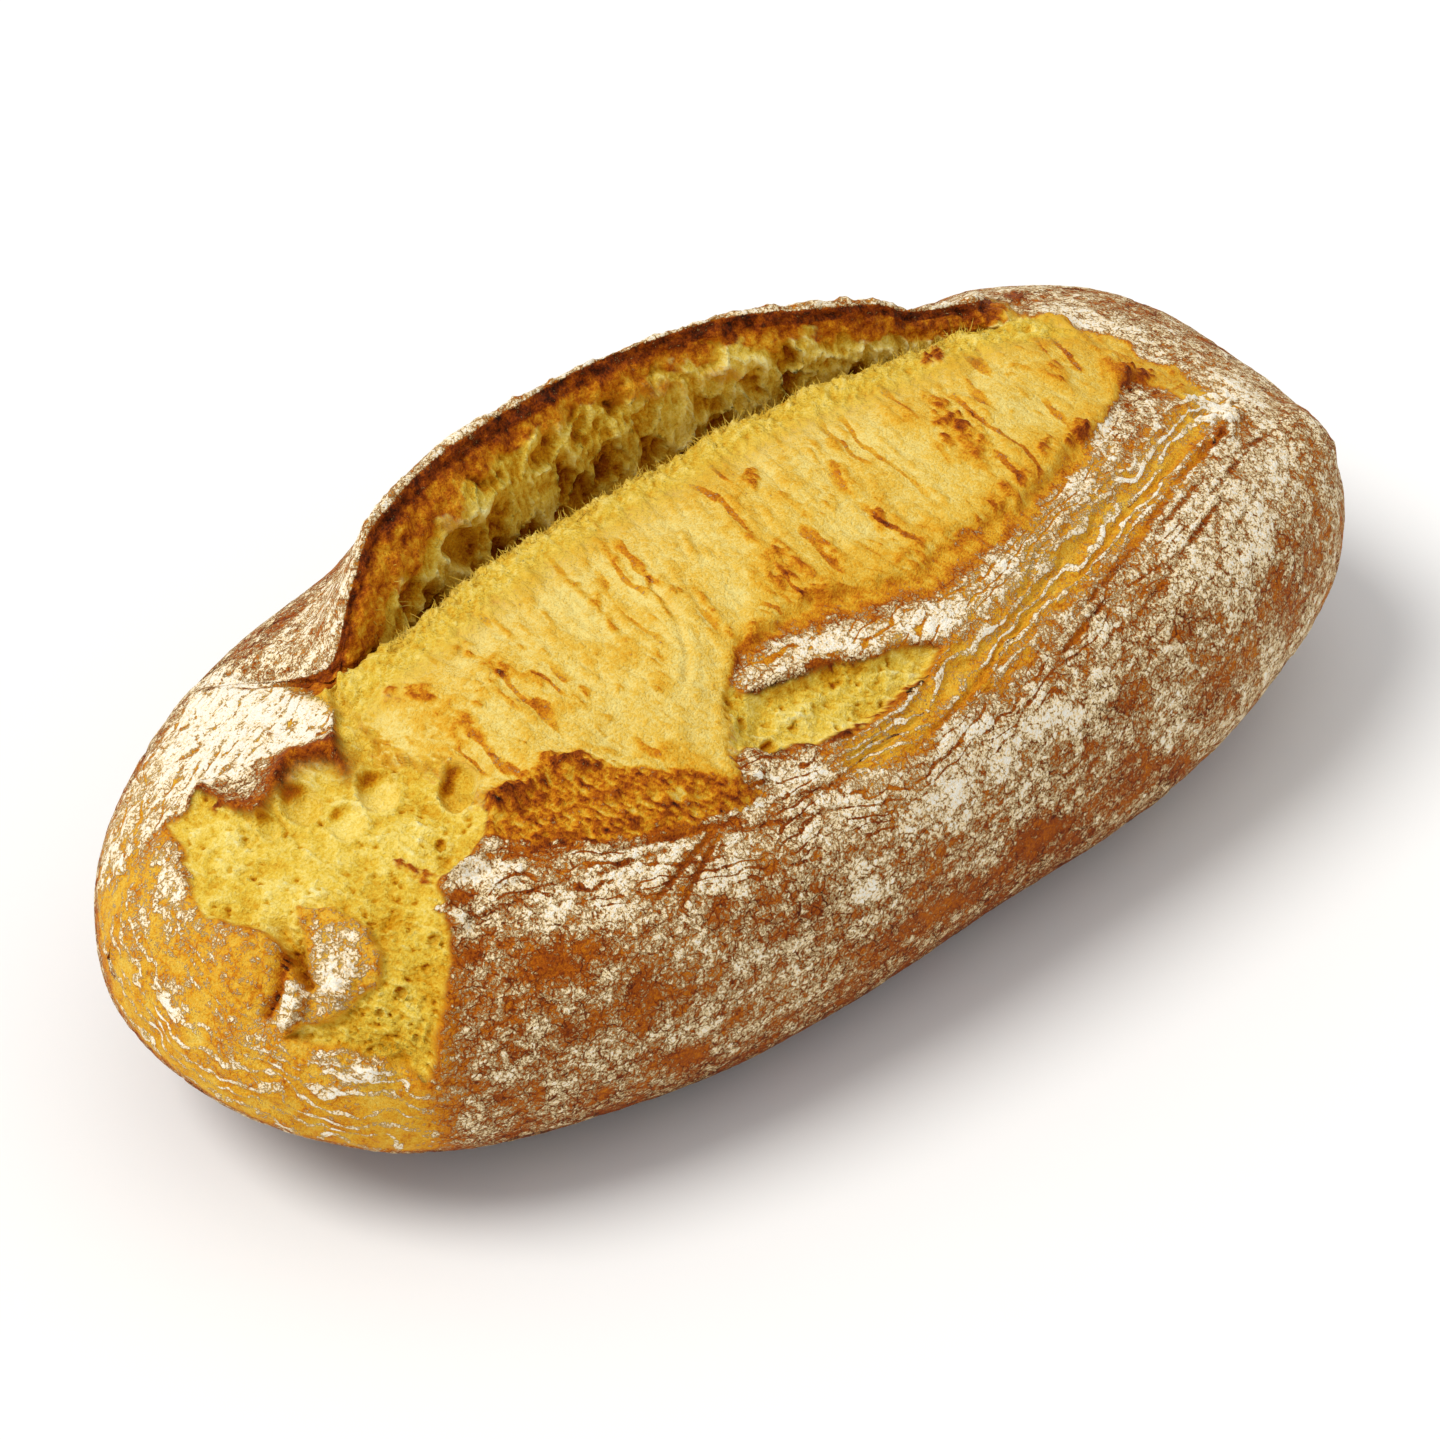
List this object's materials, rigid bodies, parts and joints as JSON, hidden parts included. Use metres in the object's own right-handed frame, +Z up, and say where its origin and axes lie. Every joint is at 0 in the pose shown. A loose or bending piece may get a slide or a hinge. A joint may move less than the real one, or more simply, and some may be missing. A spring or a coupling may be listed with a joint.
{
  "type": "hearth loaf",
  "caption": "Uncut rustic hearth loaf of yellow dough, floured and browned, torn open along its top with a raised crust ear and a flat base.",
  "frame": {"origin": "middle of the loaf's bounding box, at the flat base that it rests on", "axes": "+X along the loaf, from the torn left end to the right end; -Y is the front, with the ear on the +Y side; +Z up"},
  "size_m": [0.3034, 0.144, 0.1032],
  "materials": {
    "crust": "dry golden-brown baked crust, dusted with flour",
    "crumb": "matte porous yellow crumb and pale new crust"
  },
  "bodies": {
    "root": {"loaf": "crust"}
  },
  "joints": []
}
